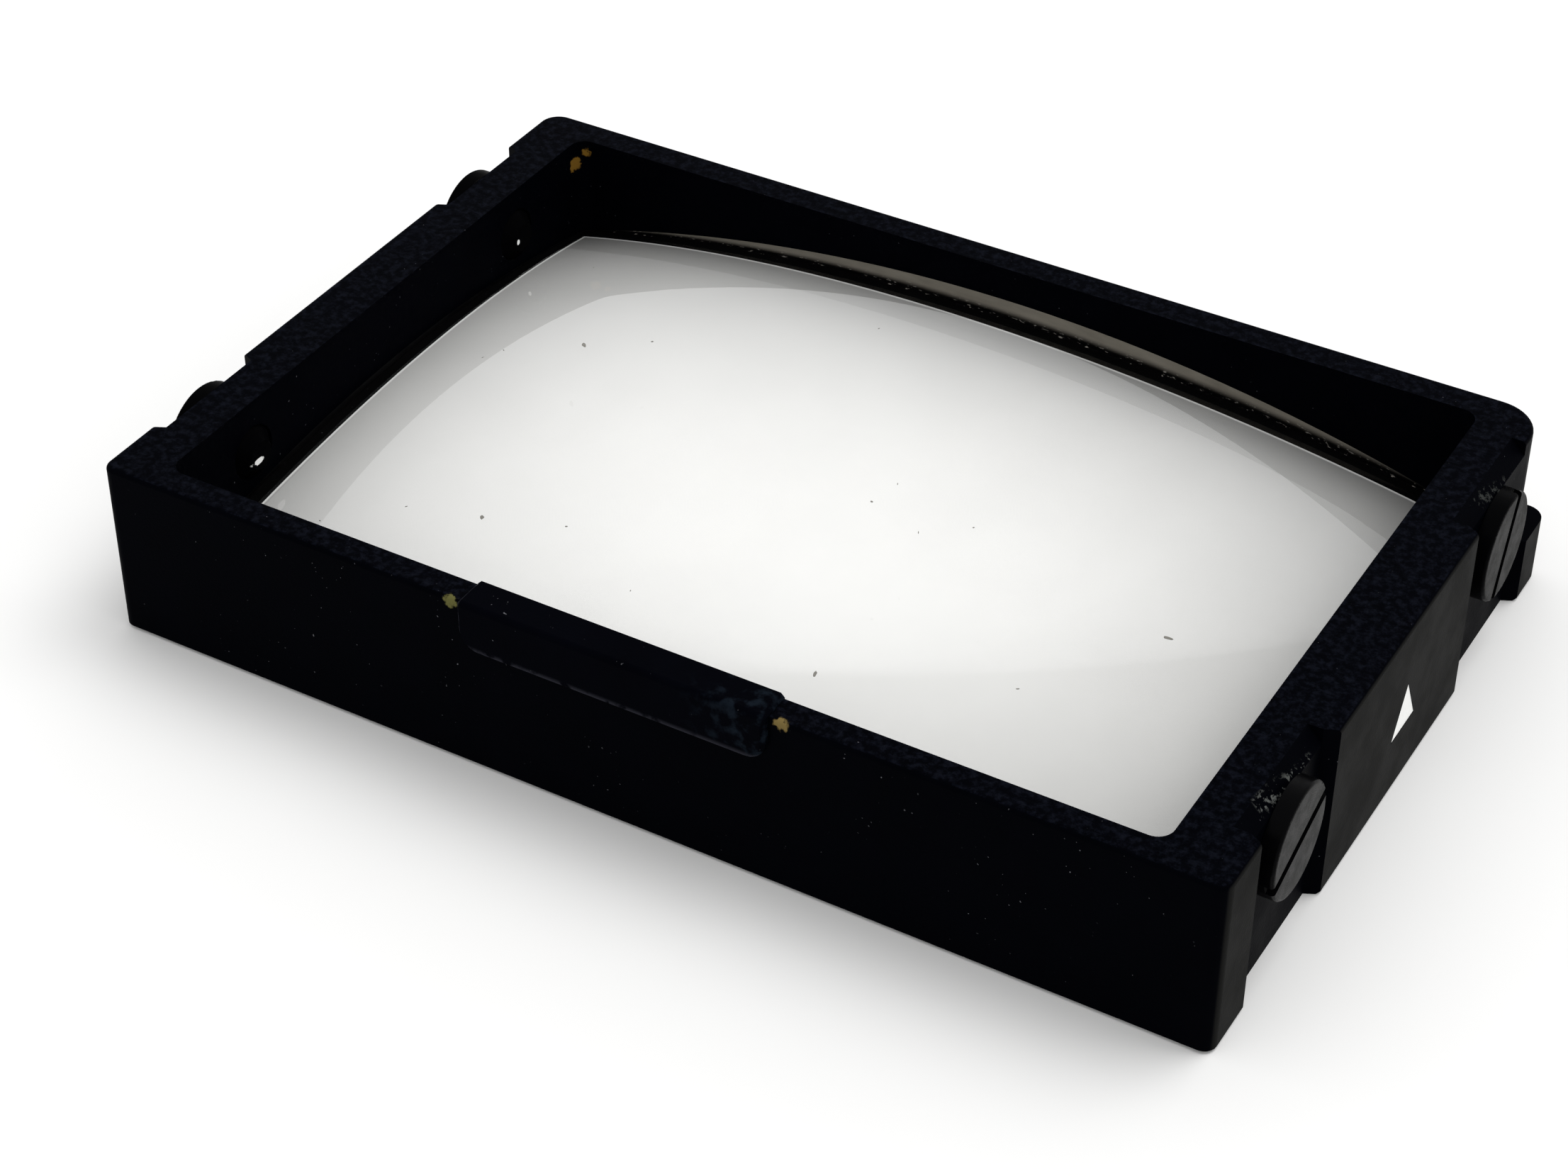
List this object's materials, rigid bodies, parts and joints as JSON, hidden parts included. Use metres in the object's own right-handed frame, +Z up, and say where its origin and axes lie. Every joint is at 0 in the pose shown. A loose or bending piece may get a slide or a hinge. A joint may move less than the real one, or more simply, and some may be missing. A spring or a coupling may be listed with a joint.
{
  "type": "viewfinder focusing screen",
  "caption": "Rectangular black frame holding a domed condenser lens over a matte focusing plate, with slotted side screws.",
  "frame": {"origin": "centre of the base, midway between the two ends and between the front lug and the back foot", "axes": "+X along the long side towards the end with the index mark, +Y to the back, +Z up towards the dome"},
  "size_m": [0.0424, 0.0286, 0.0071],
  "materials": {
    "frame_paint": "satin black paint over brass",
    "lug_paint": "satin black paint, worn to brass at the ends",
    "matte_plate": "ground underside, fine concentric rings on top",
    "spacer_black": "dull black",
    "lens_glass": "polished dome and flat, ground edge",
    "index_white": "white paint filling",
    "screw_steel": "blackened, turned face"
  },
  "bodies": {
    "frame_body": {"frame": "frame_paint", "finger_lug": "lug_paint", "focusing_plate": "matte_plate", "spacer": "spacer_black", "condenser_lens": "lens_glass", "index_mark": "index_white"},
    "screw_left_front": {"side_screw_left_front": "screw_steel"},
    "screw_left_back": {"side_screw_left_back": "screw_steel"},
    "screw_right_front": {"side_screw_right_front": "screw_steel"},
    "screw_right_back": {"side_screw_right_back": "screw_steel"}
  },
  "joints": [
    {"name": "left_front_screw_turn", "type": "hinge", "parent": "frame_body", "child": "screw_left_front", "pos_m": [-0.021, -0.0085, 0.00485], "axis": [-1, 0, 0], "continuous": true},
    {"name": "left_back_screw_turn", "type": "hinge", "parent": "frame_body", "child": "screw_left_back", "pos_m": [-0.021, 0.00815, 0.00495], "axis": [-1, 0, 0], "continuous": true},
    {"name": "right_front_screw_turn", "type": "hinge", "parent": "frame_body", "child": "screw_right_front", "pos_m": [0.021, -0.0086, 0.00472], "axis": [1, 0, 0], "continuous": true},
    {"name": "right_back_screw_turn", "type": "hinge", "parent": "frame_body", "child": "screw_right_back", "pos_m": [0.021, 0.00915, 0.00445], "axis": [1, 0, 0], "continuous": true}
  ]
}
